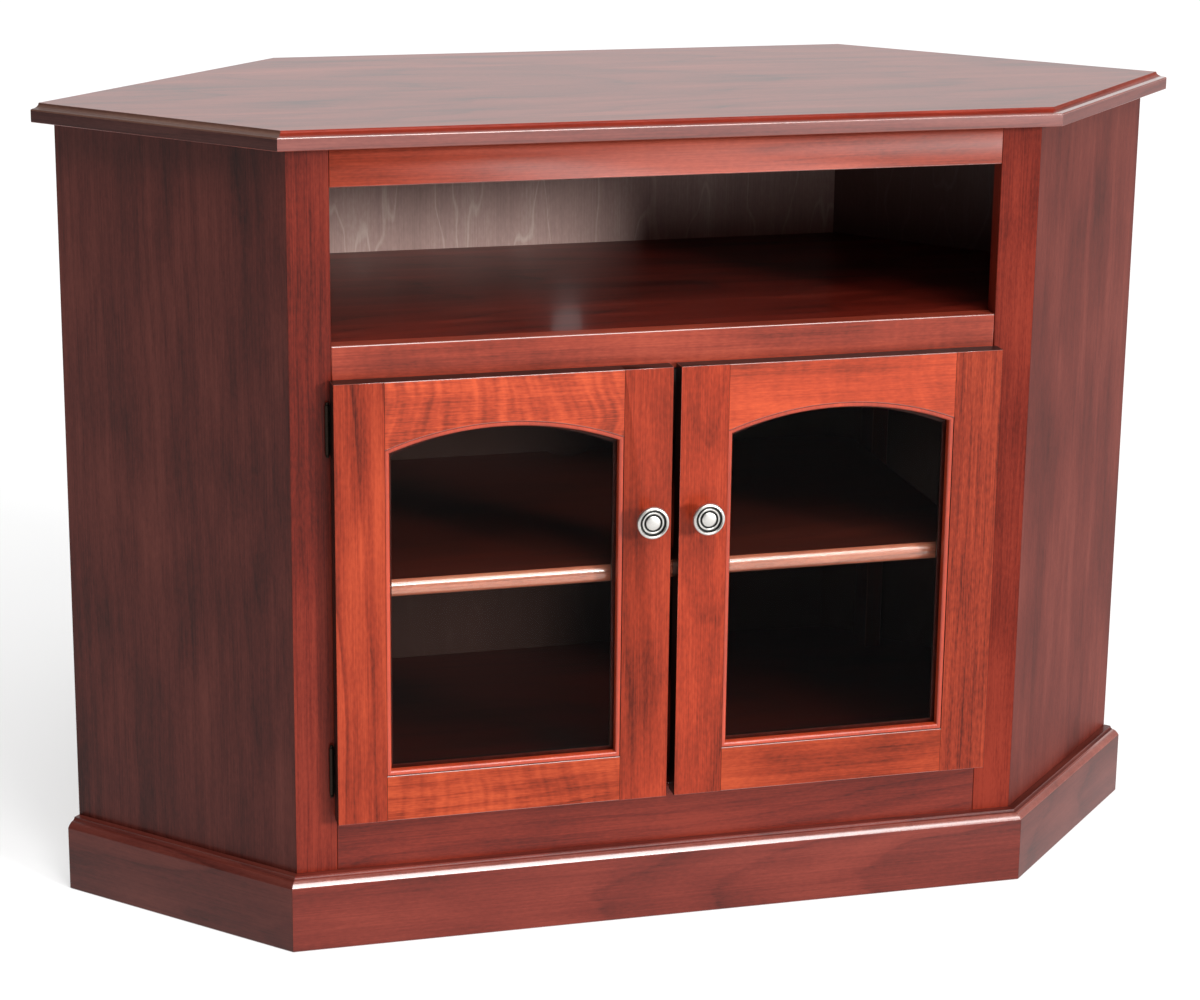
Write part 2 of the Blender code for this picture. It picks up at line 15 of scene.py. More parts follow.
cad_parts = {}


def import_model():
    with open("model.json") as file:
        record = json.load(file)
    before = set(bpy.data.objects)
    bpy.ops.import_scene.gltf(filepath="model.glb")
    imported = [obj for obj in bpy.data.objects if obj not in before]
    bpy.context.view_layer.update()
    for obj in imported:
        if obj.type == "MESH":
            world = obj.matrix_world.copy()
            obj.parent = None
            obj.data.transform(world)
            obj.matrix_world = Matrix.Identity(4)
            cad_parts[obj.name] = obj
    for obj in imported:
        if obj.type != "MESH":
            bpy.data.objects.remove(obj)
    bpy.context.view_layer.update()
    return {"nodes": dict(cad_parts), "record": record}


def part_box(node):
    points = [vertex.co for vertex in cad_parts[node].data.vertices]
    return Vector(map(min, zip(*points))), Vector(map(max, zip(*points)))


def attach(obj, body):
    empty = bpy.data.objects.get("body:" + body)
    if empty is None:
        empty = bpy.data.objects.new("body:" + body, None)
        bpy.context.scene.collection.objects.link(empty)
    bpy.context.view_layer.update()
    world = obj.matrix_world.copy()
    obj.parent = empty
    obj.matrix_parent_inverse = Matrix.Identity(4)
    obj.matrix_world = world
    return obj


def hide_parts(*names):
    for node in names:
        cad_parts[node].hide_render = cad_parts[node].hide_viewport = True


GAP = 0.0003            # between a rebuilt piece and the piece it stands against
WELD = 1e-6             # vertices nearer than this are one
TOUCH = 0.0009          # an edge nearer than this to another piece is part of a joint
SHORTEST_EDGE = 0.004   # shorter edges of a board stay sharp
EASE = 0.0008           # width of the rounding of a board's free edges
SAME_LEVEL = 1e-5       # heights nearer than this are one


# ---------------------------------------------------------------- node trees

class Graph:
    """Adds and joins the nodes of one tree."""

    def __init__(self, tree):
        self.tree = tree

    def add(self, kind, inputs=(), **settings):
        node = self.tree.nodes.new(kind)
        for key, value in settings.items():
            setattr(node, key, value)
        for key, value in dict(inputs).items():
            self.feed(node.inputs[key], value)
        return node

    def feed(self, socket, value):
        if isinstance(value, bpy.types.NodeSocket):
            self.tree.links.new(value, socket)
        else:
            socket.default_value = value

    def math(self, operation, a, b=0.0, c=0.0):
        return self.add("ShaderNodeMath", {0: a, 1: b, 2: c}, operation=operation).outputs[0]

    def vector(self, operation, a, b):
        node = self.add("ShaderNodeVectorMath", {0: a, 1: b}, operation=operation)
        return node.outputs["Value" if operation == "DOT_PRODUCT" else "Vector"]

    def noise(self, vector, scale=1.0, detail=2.0, rough=0.5, out="Fac"):
        node = self.add("ShaderNodeTexNoise", {"Vector": vector, "Scale": scale,
                                               "Detail": detail, "Roughness": rough})
        return node.outputs[out]

    def ramp(self, fac, stops, interpolation="EASE"):
        node = self.add("ShaderNodeValToRGB", {"Fac": fac})
        node.color_ramp.interpolation = interpolation
        elements = node.color_ramp.elements
        while len(elements) < len(stops):
            elements.new(0.5)
        for element, (position, value) in zip(elements, stops):
            element.position = position
            element.color = (value, value, value, 1.0) if isinstance(value, float) else value
        return node.outputs["Color"]

    def mix(self, fac, a, b):
        node = self.add("ShaderNodeMix", data_type="RGBA")
        self.feed(node.inputs[0], fac)
        self.feed(node.inputs[6], a)
        self.feed(node.inputs[7], b)
        return node.outputs[2]


def wood_group():
    """Pattern of one sawn board: growth rings round a pith, streaks, fibres, blotches, curl."""
    tree = bpy.data.node_groups.new("board_pattern", "ShaderNodeTree")
    face = tree.interface
    vectors = ("Along", "Across", "Depth", "Seed", "Pith")
    floats = ("Tilt", "Ring", "Rings", "Streaks", "Fibres", "Curl", "Blotch", "Lines")
    for name in vectors:
        face.new_socket(name, in_out="INPUT", socket_type="NodeSocketVector")
    for name in floats:
        face.new_socket(name, in_out="INPUT", socket_type="NodeSocketFloat")
    for name in ("Dark", "Mid", "Light"):
        face.new_socket(name, in_out="INPUT", socket_type="NodeSocketColor")
    face.new_socket("Color", in_out="OUTPUT", socket_type="NodeSocketColor")
    face.new_socket("Height", in_out="OUTPUT", socket_type="NodeSocketFloat")
    g = Graph(tree)
    ins = g.add("NodeGroupInput").outputs
    point = g.add("ShaderNodeTexCoord").outputs["Object"]
    along, across, depth = (g.vector("DOT_PRODUCT", point, ins[n]) for n in vectors[:3])
    board = g.add("ShaderNodeCombineXYZ", {0: along, 1: across, 2: depth}).outputs[0]
    seeded = g.vector("ADD", board, ins["Seed"])

    def stretched(x, y):
        return g.vector("MULTIPLY", seeded, (x, y, y))

    warp = g.vector("SUBTRACT", g.noise(stretched(2.6, 9.0), out="Color"), (0.5, 0.5, 0.5))
    shaken = g.vector("ADD", board, g.vector("MULTIPLY", warp, (0.10, 0.035, 0.035)))
    parts = g.add("ShaderNodeSeparateXYZ",
                  {0: g.vector("SUBTRACT", shaken, ins["Pith"])}).outputs
    low = g.math("MULTIPLY_ADD", parts[0], ins["Tilt"], parts[2])
    square = g.math("MULTIPLY_ADD", parts[1], parts[1], g.math("MULTIPLY", low, low))
    waver = g.math("MULTIPLY", g.noise(stretched(14.0, 70.0), detail=2.0), 0.0030)
    radius = g.math("ADD", g.math("SQRT", square), waver)
    ring = g.math("FRACT", g.math("DIVIDE", radius, ins["Ring"]))
    late = g.ramp(ring, ((0.0, 0.65), (0.30, 0.92), (0.74, 0.45), (0.93, 0.0), (1.0, 0.65)))
    strength = g.noise(stretched(3.0, 22.0), detail=1.0)
    late = g.math("MULTIPLY_ADD", g.math("SUBTRACT", late, 0.5), strength, 0.25)
    fibre = g.noise(stretched(9.0, 900.0), detail=2.0, rough=0.55)
    mottle = g.noise(stretched(140.0, 430.0), detail=2.0, rough=0.55)
    streak = g.ramp(g.noise(g.vector("ADD", stretched(2.2, 34.0), warp), detail=3.0, rough=0.6),
                    ((0.28, 0.0), (0.50, 0.40), (0.74, 1.0)))
    blotch = g.noise(stretched(5.0, 13.0), detail=3.0, rough=0.55)
    curl = g.noise(g.vector("ADD", stretched(110.0, 13.0), g.vector("MULTIPLY", warp, (7, 0, 0))),
                   detail=1.5)
    contour = g.math("ABSOLUTE", g.math("SUBTRACT", g.noise(stretched(4.6, 22.0), detail=2.0), 0.5))
    lines = g.ramp(contour, ((0.0, 1.0), (0.006, 0.6), (0.013, 0.0)))
    terms = ((late, 1.1, "Rings", 0.25), (streak, 0.62, "Streaks", 0.42),
             (fibre, 1.15, "Fibres", 0.5), (mottle, 0.90, "Fibres", 0.5),
             (blotch, 1.50, "Blotch", 0.5), (curl, 1.70, "Curl", 0.5), (lines, 0.9, "Lines", 0.0))
    level = 0.5
    for value, weight, control, middle in terms:
        swing = g.math("MULTIPLY", g.math("SUBTRACT", value, middle), weight)
        level = g.math("MULTIPLY_ADD", swing, ins[control], level)
    lower = g.mix(g.math("MULTIPLY", level, 2.0), ins["Dark"], ins["Mid"])
    colour = g.mix(g.math("MULTIPLY_ADD", level, 2.0, -1.0), lower, ins["Light"])
    outs = g.add("NodeGroupOutput")
    g.feed(outs.inputs["Color"], colour)
    g.feed(outs.inputs["Height"], g.math("ADD", fibre, mottle))
    return tree


BOARD_PATTERN = wood_group()

# Grain frames: along the grain, across it, and into the board
R = math.sqrt(0.5)
ALONG_EDGE = ((0, 0, 1), (0, 1, 0), (1, 0, 0))
UPRIGHT = ((0, 0, 1), (1, 0, 0), (0, 1, 0))
LEVEL = ((1, 0, 0), (0, 0, 1), (0, 1, 0))
FLAT = ((1, 0, 0), (0, 1, 0), (0, 0, 1))
LEFT_UPRIGHT = ((0, 0, 1), (R, -R, 0), (R, R, 0))
RIGHT_UPRIGHT = ((0, 0, 1), (R, R, 0), (-R, R, 0))
LEFT_LEVEL = ((R, -R, 0), (0, 0, 1), (R, R, 0))
RIGHT_LEVEL = ((R, R, 0), (0, 0, 1), (-R, R, 0))


def toned(colour, factor):
    """Colour made darker or lighter."""
    return tuple(c * factor for c in colour)


def rgba(colour):
    """Opaque colour for a socket, kept within range."""
    return (*(min(1.0, c) for c in colour), 1.0)


def new_material(name):
    """A material, its graph and its shader."""
    mat = bpy.data.materials.new(name)
    mat.use_nodes = True
    return mat, Graph(mat.node_tree), mat.node_tree.nodes["Principled BSDF"]


def wood(name, grain, colour, seed, pith=(0.02, -0.11), tilt=0.05, ring=0.011, rings=0.5,
         streaks=0.6, fibres=0.6, curl=0.0, blotch=0.5, lines=0.0, spread=0.55,
         roughness=0.34, specular=0.3, coat=0.0, coat_ior=1.5):
    """Material of one board.

    pith is the tree's centre, across and below the board, tilt how fast it dives along the
    board, ring the width of a growth ring, and spread how far dark and light lie from colour.
    """
    mat, g, shader = new_material(name)
    along, across, depth = grain
    pattern = g.add("ShaderNodeGroup", node_tree=BOARD_PATTERN)
    red, green, blue = colour
    light = (red * (1 + spread * 0.9), green * (1 + spread * 1.5), blue * (1 + spread * 1.5))
    values = {"Along": along, "Across": across, "Depth": depth, "Pith": (0, *pith),
              "Seed": (seed * 1.37 % 7, seed * 2.11 % 5, seed * 3.3 % 9), "Tilt": tilt,
              "Ring": ring, "Rings": rings, "Streaks": streaks, "Fibres": fibres,
              "Curl": curl, "Blotch": blotch, "Lines": lines, "Mid": rgba(colour),
              "Dark": rgba(toned(colour, 1 - spread)), "Light": rgba(light)}
    for key, value in values.items():
        pattern.inputs[key].default_value = value
    g.feed(shader.inputs["Base Color"], pattern.outputs["Color"])
    bump = g.add("ShaderNodeBump", {"Height": pattern.outputs["Height"], "Strength": 0.12,
                                    "Distance": 0.0002})
    g.feed(shader.inputs["Normal"], bump.outputs["Normal"])
    shader.inputs["Roughness"].default_value = roughness
    shader.inputs["Specular IOR Level"].default_value = specular
    shader.inputs["Coat Weight"].default_value = coat
    shader.inputs["Coat Roughness"].default_value = 0.14
    shader.inputs["Coat IOR"].default_value = coat_ior
    return mat


def metal(name, colour, roughness):
    """Brushed or plated metal with a faint grain in its colour and surface."""
    mat, g, shader = new_material(name)
    point = g.add("ShaderNodeTexCoord").outputs["Object"]
    grain = g.noise(point, scale=900.0, detail=3.0)
    dark, light = rgba(toned(colour, 0.85)), rgba(toned(colour, 1.1))
    g.feed(shader.inputs["Base Color"], g.mix(grain, dark, light))
    rough = g.math("MULTIPLY_ADD", grain, 0.16, roughness - 0.08)
    g.feed(shader.inputs["Roughness"], rough)
    bump = g.add("ShaderNodeBump", {"Height": grain, "Strength": 0.10, "Distance": 0.0001})
    g.feed(shader.inputs["Normal"], bump.outputs["Normal"])
    shader.inputs["Metallic"].default_value = 1.0
    return mat


def plastic(name, colour, roughness):
    """Moulded plastic with a fine texture."""
    mat, g, shader = new_material(name)
    point = g.add("ShaderNodeTexCoord").outputs["Object"]
    grain = g.noise(point, scale=1400.0, detail=2.0)
    dark, light = rgba(toned(colour, 0.8)), rgba(toned(colour, 1.2))
    g.feed(shader.inputs["Base Color"], g.mix(grain, dark, light))
    bump = g.add("ShaderNodeBump", {"Height": grain, "Strength": 0.2, "Distance": 0.0001})
    g.feed(shader.inputs["Normal"], bump.outputs["Normal"])
    shader.inputs["Roughness"].default_value = roughness
    return mat


def clear_glass():
    """Thin clear pane: light passes straight through, and only its gloss shows."""
    mat, g, shader = new_material("clear_glass")
    nodes = mat.node_tree.nodes
    nodes.remove(shader)
    point = g.add("ShaderNodeTexCoord").outputs["Object"]
    smears = g.math("MULTIPLY_ADD", g.noise(point, scale=9.0, detail=3.0), 0.05, 0.01)
    clear = g.add("ShaderNodeBsdfTransparent", {"Color": (0.84, 0.86, 0.85, 1.0)})
    gloss = g.add("ShaderNodeBsdfAnisotropic", {"Color": (0.5, 0.5, 0.5, 1.0),
                                                "Roughness": smears})
    facing = g.add("ShaderNodeLayerWeight", {"Blend": 0.5}).outputs["Facing"]
    share = g.math("MULTIPLY_ADD", g.math("POWER", facing, 4.0), 0.6, 0.004)
    mixed = g.add("ShaderNodeMixShader", {0: share, 1: clear.outputs[0], 2: gloss.outputs[0]})
    g.feed(nodes["Material Output"].inputs["Surface"], mixed.outputs[0])
    return mat


# ---------------------------------------------------------------- frame measures

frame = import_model()
NODE_BODY = {n: body for body, nodes in frame["record"]["behaviour"]["bodies"].items()
             for n in nodes}
FRONT_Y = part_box("frame_rail_top")[0].y
TOP_LOW, TOP_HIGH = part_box("top_panel")
BAY_FLOOR_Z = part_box("bay_floor")[0].z
SPLIT_BOARDS = ("back_panel", "rear_panel_left", "rear_panel_right")


def paint(node, material):
    """Gives a CAD node its material."""
    slots = frame["nodes"][node].data.materials
    slots.clear()
    slots.append(material)


def dress(obj, node, material, smooth_angle):
    """Gives a new piece its material and shading, and the body of a CAD node."""
    obj.data.materials.append(material)
    obj.data.shade_smooth()
    obj.data.set_sharp_from_angle(angle=math.radians(smooth_angle))
    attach(obj, NODE_BODY[node])


def stand_in(obj, node, material, smooth_angle):
    """Dresses a piece that stands for a CAD node."""
    dress(obj, node, material, smooth_angle)
    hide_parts(node)
    return obj


def mesh_object(name, bm):
    """Turns a bmesh into an object with its faces turned outwards."""
    bmesh.ops.recalc_face_normals(bm, faces=bm.faces)
    mesh = bpy.data.meshes.new(name)
    bm.to_mesh(mesh)
    bm.free()
    obj = bpy.data.objects.new(name, mesh)
    bpy.context.collection.objects.link(obj)
    return obj


def node_faces(skip):
    """Tree of the surfaces of every CAD node but one."""
    verts, faces = [], []
    for name, obj in frame["nodes"].items():
        if name != skip:
            start = len(verts)
            verts += [v.co.copy() for v in obj.data.vertices]
            faces += [[start + i for i in p.vertices] for p in obj.data.polygons]
    return BVHTree.FromPolygons(verts, faces)


def eased_board(node, material, others=()):
    """Copy of a board's CAD solid with its free edges rounded; joint edges stay sharp.

    The rounded edges get a glossier, lighter arris wood; its lighter colour is a painted highlight.
    others is pairs of a test of a face and its material.
    A split board is cut at the bay floor, where the painted shade of the cupboard starts.
    """
    bm = bmesh.new()
    bm.from_mesh(frame["nodes"][node].data)
    bmesh.ops.remove_doubles(bm, verts=bm.verts, dist=WELD)
    bmesh.ops.dissolve_limit(bm, angle_limit=math.radians(2), verts=bm.verts, edges=bm.edges)
    around = node_faces(node)
    edges = []
    for edge in bm.edges:
        if len(edge.link_faces) != 2 or edge.calc_face_angle(0) < math.radians(40):
            continue
        a, b = (v.co for v in edge.verts)
        spots = [a.lerp(b, t) for t in (0.06, 0.3, 0.5, 0.7, 0.94)]
        in_joint = any(around.find_nearest(p, TOUCH)[0] for p in spots)
        if (b - a).length > SHORTEST_EDGE and not in_joint:
            edges.append(edge)
    eased = bmesh.ops.bevel(bm, geom=edges, offset=EASE, offset_type="OFFSET", segments=2,
                            profile=0.5, affect="EDGES", clamp_overlap=True)["faces"]
    # The eased faces take the arris wood: a painted highlight on every eased edge
    for face in eased:
        face.material_index = 1
    if node in SPLIT_BOARDS:
        bmesh.ops.bisect_plane(bm, geom=[*bm.verts, *bm.edges, *bm.faces], dist=WELD,
                               plane_co=(0, 0, BAY_FLOOR_Z + 0.002), plane_no=(0, 0, 1))
    obj = stand_in(mesh_object(node + "_board", bm), node, material, 50.0)
    obj.data.materials.append(ARRIS_PAINTED_HIGHLIGHT)
    for slot, (test, look) in enumerate(others, 2):
        obj.data.materials.append(look)
        for face in obj.data.polygons:
            if test(face) and face.material_index == 0:
                face.material_index = slot
    weighted = obj.modifiers.new("weighted", "WEIGHTED_NORMAL")
    weighted.keep_sharp = True


def ring_loft(rings, capped=True):
    """Skin over a row of loops; without caps the last loop joins the first."""
    bm = bmesh.new()
    loops = [[bm.verts.new(p) for p in ring] for ring in rings]
    pairs = list(zip(loops, loops[1:]))
    if not capped:
        pairs.append((loops[-1], loops[0]))
    for a, b in pairs:
        for i in range(len(a)):
            j = (i + 1) % len(a)
            bm.faces.new((a[i], a[j], b[j], b[i]))
    if capped:
        bm.faces.new(loops[0])
        bm.faces.new(loops[-1])
    return bm


def line_meet(a, b):
    """Meeting point of two lines given as (nx, ny, d) with nx*x + ny*y = d."""
    det = a[0] * b[1] - a[1] * b[0]
    return ((a[2] * b[1] - a[1] * b[2]) / det, (a[0] * b[2] - a[2] * b[0]) / det)


# ---------------------------------------------------------------- mouldings

def node_plan(node, z):
    """Anticlockwise plan outline of a CAD prism at a height."""
    verts = frame["nodes"][node].data.vertices
    spots = {(round(v.co.x, 5), round(v.co.y, 5)) for v in verts if abs(v.co.z - z) < SAME_LEVEL}
    middle = Vector((sum(p[0] for p in spots), sum(p[1] for p in spots))) / len(spots)
    return sorted(spots, key=lambda p: math.atan2(p[1] - middle.y, p[0] - middle.x))


def moved_plan(plan, inset):
    """Outline with the edges that face the room moved inwards."""
    lines = []
    for (x0, y0), (x1, y1) in zip(plan, plan[1:] + plan[:1]):
        length = math.hypot(x1 - x0, y1 - y0)
        nx, ny = (y1 - y0) / length, (x0 - x1) / length
        faces_room = ny < -0.6
        lines.append((nx, ny, nx * x0 + ny * y0 - (inset if faces_room else 0.0)))
    return [line_meet(a, b) for a, b in zip(lines[-1:] + lines[:-1], lines)]


def side_of(normal):
    """Which way a face of the top or base looks."""
    if abs(normal.x) < 0.4 * abs(normal.y):
        return "front"
    return "left" if normal.x < 0 else "right"


def moulding(node, name, profile, material, highlight_heights, edges=None):
    """Board rebuilt with a moulded edge; profile runs from the underside up.

    highlight_heights is the height range of the sloping faces that get the arris wood as a painted
    highlight, on every side but the left, which lies in shade. edges gives the materials of the
    other edge faces and hollows by where they look: painted light and shade by side.
    """
    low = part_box(node)[0].z
    plan = node_plan(node, low)
    rings = [[(x, y, low + h) for x, y in moved_plan(plan, inset)] for inset, h in profile]
    obj = stand_in(mesh_object(name, ring_loft(rings)), node, material, 24.0)
    edges = edges or {}
    for look in (ARRIS_PAINTED_HIGHLIGHT, *edges.values()):
        obj.data.materials.append(look)
    places = {side: index for index, side in enumerate(edges, 2)}
    over_underside, under_flat = 0.0003, profile[-1][1] - 0.0001
    for face in obj.data.polygons:
        side = side_of(face.normal)
        height = face.center.z - low
        # Painted highlight on the sloping faces in range; the left side, in shade, gets none
        if highlight_heights[0] < height < highlight_heights[1] and face.normal.z > 0.05 and side != "left":
            face.material_index = 1
        elif over_underside < height < under_flat:
            hollow = height > highlight_heights[0]
            face.material_index = places.get(side + "_hollow" if hollow else side, 0)


def arc(centre, radius, start, end, steps):
    """Points (inset, height) of an arc, angles in degrees."""
    points = []
    for i in range(steps + 1):
        a = math.radians(start + (end - start) * i / steps)
        points.append((centre[0] + radius * math.cos(a), centre[1] + radius * math.sin(a)))
    return points


def cove(inner, low, high):
    """Hollow from a lip up to a flat: level where it leaves the lip, upright at the flat."""
    steps = 8
    points = []
    for i in range(steps + 1):
        a = math.pi / 2 * i / steps
        points.append((low[0] + (inner - low[0]) * math.sin(a),
                       low[1] + (high - low[1]) * (1 - math.cos(a))))
    return points


# Heights are above the underside of the moulding; insets are from its outer face
LIP = 0.0132            # top of the top panel's square face
TOP_COVE_IN = 0.0120    # inset where the top panel's hollow ends
CAP_START = 0.0690      # foot and head of the base's bevel
CAP_END = 0.0742
CAP_IN = 0.0105         # inset where the base's hollow ends


def top_profile():
    """Square face, small round arris, then a hollow up to the flat."""
    thick = TOP_HIGH.z - TOP_LOW.z
    arris = 0.0016
    points = [(0.0006, 0.0), (0.0, 0.0006)]
    points += arc((arris, LIP - arris), arris, 180, 90, 6)
    points += cove(TOP_COVE_IN, (arris + 0.0012, LIP + 0.0001), thick - 0.0004)
    return points + [(TOP_COVE_IN + 0.0004, thick)]


def base_profile():
    """Upright face, a soft bevel, then a hollow up to the flat ledge."""
    foot, ledge = 0.0010, 0.0777
    points = [(foot, 0.0), (0.0, foot), (0.0, CAP_START - 0.0006)]
    points += [(0.0002, CAP_START), (0.0008, CAP_START + 0.0010), (0.0022, CAP_START + 0.0026),
               (0.0040, CAP_START + 0.0041), (0.0058, CAP_END - 0.0002)]
    return points + cove(CAP_IN, (0.0064, CAP_END), ledge)


# ---------------------------------------------------------------- doors

def door_opening(word):
    """One door's glazed opening: its x and z ranges, its arch's rise and the door's front."""
    stiles = [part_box("%s_door_%s" % (word, s)) for s in ("hinge_stile", "meeting_stile")]
    left, right = sorted(stiles, key=lambda b: b[0].x)
    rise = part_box(word + "_door_bead")[1].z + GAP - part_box(word + "_door_top_rail")[0].z
    return {"x0": left[1].x, "x1": right[0].x, "z0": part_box(word + "_door_bottom_rail")[1].z,
            "z1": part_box(word + "_door_top_rail")[0].z, "rise": rise, "front": left[0].y}


def arch_outline(opening, inset):
    """Arched opening moved inwards, anticlockwise from the lower left corner."""
    x0, x1 = opening["x0"] + inset, opening["x1"] - inset
    foot = opening["z0"] + inset
    half, rise = (opening["x1"] - opening["x0"]) / 2, opening["rise"]
    radius = (half * half + rise * rise) / (2 * rise)
    centre_x, centre_z = (x0 + x1) / 2, opening["z1"] + rise - radius
    steps = 40
    arch = []
    for i in range(steps + 1):
        x = x1 + (x0 - x1) * i / steps
        arch.append((x, centre_z + math.sqrt((radius - inset) ** 2 - (x - centre_x) ** 2)))
    return [(x0, foot), (x1, foot), *arch]


def door_bead(word, material):
    """Round sticking that runs right round the glass."""
    opening = door_opening(word)
    node = word + "_door_bead"
    glass_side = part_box(node)[1].y
    face = opening["front"]
    width = 0.0050
    section = [(GAP, glass_side), (GAP, face + 0.0014), (0.0006, face + 0.0009)]
    for inset, rise in arc((0.0018, 0.0), 0.0030, 100, 10, 8):
        section.append((inset, face + 0.0034 - rise * 0.85))
    section += [(width, face + 0.0036), (width, glass_side)]
    rings = [[(x, y, z) for x, z in arch_outline(opening, inset)] for inset, y in section]
    obj = mesh_object(node + "_round", ring_loft(rings, capped=False))
    stand_in(obj, node, material, 35.0)


def turned(profile, centre, axis, steps=72):
    """Solid turned about the x or y axis; profile is (radius, distance along it)."""
    bm = bmesh.new()
    rings = []
    for radius, height in profile:
        ring = []
        for i in range(1 if radius == 0 else steps):
            a = 2 * math.pi * i / steps
            u, v = radius * math.cos(a), radius * math.sin(a)
            spot = (height, u, v) if axis == "x" else (u, height, v)
            ring.append(bm.verts.new(Vector(centre) + Vector(spot)))
        rings.append(ring)
    for a, b in zip(rings, rings[1:]):
        for i in range(steps):
            j = (i + 1) % steps
            corners = (a[i % len(a)], a[j % len(a)], b[j % len(b)], b[i % len(b)])
            bm.faces.new(list(dict.fromkeys(corners)))
    return bm


# Dark grooves of a knob's face, as shares of its radius
KNOB_GROOVES = ((0.452, 0.565), (0.685, 0.80))


def knob(word, material, patina):
    """Turned knob: domed button inside a dark groove, a thin ring, a groove and a wide rim.

    Sections are (radius, depth behind the front of the rim).
    """
    node = word + "_door_knob"
    low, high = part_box(node)
    centre = ((low.x + high.x) / 2, high.y + GAP, (low.z + high.z) / 2)
    out = centre[1] - low.y
    r = (high.x - low.x) / 2
    dome = []
    for i in range(9):
        turn = math.pi / 2 * i / 8
        dome.append((0.45 * r * math.sin(turn), 0.0004 + 0.0013 * (1 - math.cos(turn))))
    first_groove = [(0.47 * r, 0.0036), (0.55 * r, 0.0036)]
    ring = [(0.57 * r, 0.0018), (0.60 * r, 0.0014), (0.65 * r, 0.0014), (0.68 * r, 0.0018)]
    second_groove = [(0.70 * r, 0.0034), (0.79 * r, 0.0034)]
    rim = [(0.81 * r, 0.0011), (0.84 * r, 0.0004), (0.88 * r, 0.0)]
    bend = 0.0019
    for i in range(1, 7):
        turn = math.pi * i / 12
        rim.append((r - bend + bend * math.sin(turn), 0.0020 - bend * math.cos(turn)))
    under = [(r, 0.0042), (r - 0.0006, 0.0056), (0.0138, 0.0080), (0.0100, 0.0096),
             (0.0075, 0.0112), (0.0062, 0.0135), (0.0058, 0.0160), (0.0060, 0.0185),
             (0.0068, 0.0205), (0.0078, 0.0220), (0.0078, out - 2 * GAP)]
    sections = dome + first_groove + ring + second_groove + rim + under
    profile = [(radius, depth - out) for radius, depth in sections] + [(0, -2 * GAP)]
    obj = stand_in(mesh_object(node + "_turned", turned(profile, centre, "y")), node, material,
                   38.0)
    obj.data.materials.append(patina)
    face_depth = 0.0060
    for face in obj.data.polygons:
        spot = face.center - Vector(centre)
        share = math.hypot(spot.x, spot.z) / r
        in_groove = any(inner < share < outer for inner, outer in KNOB_GROOVES)
        face.material_index = int(in_groove and spot.y < face_depth - out)


def shelf(material, painted_light_nose_material):
    """Loose shelf with a full round, glossy nose in a far lighter wood: painted light."""
    node = "adjustable_shelf"
    low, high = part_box(node)
    thick = high.z - low.z
    back = [p for p in node_plan(node, high.z) if p[1] > low.y + thick]
    outline = [(low.x, low.y), (high.x, low.y), *sorted(back, key=lambda p: -p[0])]
    bm = ring_loft([[(x, y, z) for x, y in outline] for z in (low.z, high.z)])
    edges = [e for e in bm.edges if all(abs(v.co.y - low.y) < WELD for v in e.verts)
             and abs(e.verts[0].co.z - e.verts[1].co.z) < WELD]
    nose_flat = 0.0006
    bmesh.ops.bevel(bm, geom=edges, offset=(thick - nose_flat) / 2, offset_type="OFFSET",
                    segments=10, profile=0.5, affect="EDGES")
    obj = stand_in(mesh_object("shelf_board", bm), node, material, 30.0)
    obj.data.materials.append(painted_light_nose_material)
    for face in obj.data.polygons:
        # Faces that look forward take the nose's painted light
        face.material_index = int(face.normal.y < -0.12)


# ---------------------------------------------------------------- small fittings

def merged(parts):
    """One bmesh holding the shapes of several."""
    whole = bmesh.new()
    for part in parts:
        mesh = bpy.data.meshes.new("part")
        part.to_mesh(mesh)
        part.free()
        whole.from_mesh(mesh)
        bpy.data.meshes.remove(mesh)
    return whole


# Domed head with a recess, as (radius, height over the plate)
SCREW_HEAD = ((0, -0.0002), (0.0027, -0.0002), (0.0027, 0.0001), (0.0023, 0.0004),
              (0.0014, 0.0006), (0.0009, 0.0006), (0.0007, 0.0002), (0, 0.0002))


def leaf_screws(leaf, material):
    """Two domed screws in the plate of a hinge leaf, on the side that looks inwards."""
    low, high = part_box(leaf)
    side = 1 if low.x > 0 else -1
    inner = low.x if side > 0 else high.x
    from_edge = 0.0055
    edge = [v.co for v in frame["nodes"][leaf].data.vertices if abs(v.co.x - inner) < 1e-4]
    front, rear = min(v.y for v in edge), max(v.y for v in edge)
    if leaf.endswith("door_leaf"):
        axis, out = "y", 1
        x, y = inner + side * from_edge, rear
    else:
        axis, out = "x", -side
        x, y = inner, (front + rear) / 2
    head = [(radius, height * out) for radius, height in SCREW_HEAD]
    parts = []
    for share in (0.2, 0.8):
        z = low.z + share * (high.z - low.z)
        parts.append(turned(head, (x, y, z), axis, steps=24))
    dress(mesh_object(leaf + "_screws", merged(parts)), leaf, material, 40.0)


def grommets(material):
    """Black edging ring pressed into each cable hole from behind."""
    panel_low, panel_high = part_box("back_panel")
    rim = [v.co for v in frame["nodes"]["back_panel"].data.vertices if abs(v.co.x) < 0.03]
    parting = (panel_low.z + panel_high.z) / 2
    bore, flange, proud = 0.0195, 0.0262, 0.0014
    for name, holes in (("shelf", [p for p in rim if p.z < parting]),
                        ("bay", [p for p in rim if p.z > parting])):
        zs = [p.z for p in holes if panel_low.z + 0.01 < p.z < panel_high.z - 0.01]
        outside = (max(zs) - min(zs)) / 2 - GAP
        centre = (0, 0, (max(zs) + min(zs)) / 2)
        front, rear = panel_low.y, panel_high.y
        section = [(bore, front + 0.0006), (bore + 0.0006, front), (outside, front),
                   (outside, rear + GAP), (flange, rear + GAP), (flange, rear + proud - 0.0006),
                   (flange - 0.0007, rear + proud), (bore + 0.0008, rear + proud),
                   (bore, rear + proud - 0.0008)]
        bm = turned(section + section[:1], centre, "y")
        bmesh.ops.remove_doubles(bm, verts=bm.verts, dist=WELD)
        dress(mesh_object(name + "_cable_grommet", bm), "door_catch", material, 40.0)


# ---------------------------------------------------------------- stage

